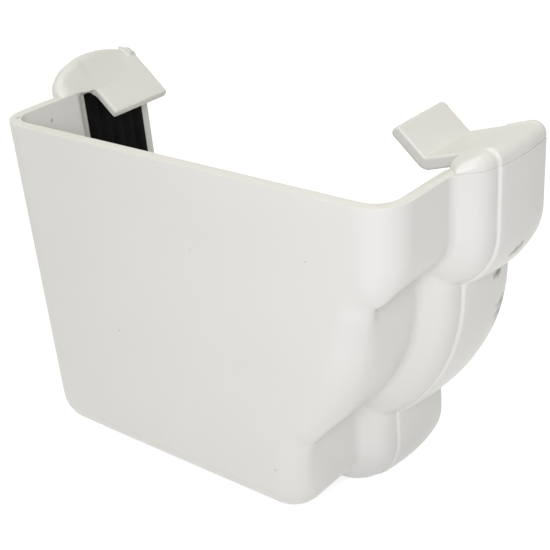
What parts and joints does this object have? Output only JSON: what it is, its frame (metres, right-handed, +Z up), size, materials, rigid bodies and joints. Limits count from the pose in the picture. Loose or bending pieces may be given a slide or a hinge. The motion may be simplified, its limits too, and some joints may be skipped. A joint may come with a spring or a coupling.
{
  "type": "gutter end cap",
  "caption": "External stop end for an ogee rain gutter: closed end wall, stepped collar with a rubber seal, a front snap clip and a back hook.",
  "frame": {"origin": "bottom centre of the bounding box, on the plane of the collar's lowest edge", "axes": "+X towards the ogee front, +Y out of the open mouth, away from the closed end wall, +Z up"},
  "size_m": [0.1248, 0.0472, 0.0963],
  "materials": {
    "white_pvc": "satin moulded, warm off-white",
    "black_rubber": "matt"
  },
  "bodies": {
    "root": {"stop_end_body": "white_pvc", "rubber_seal": "black_rubber"}
  },
  "joints": []
}
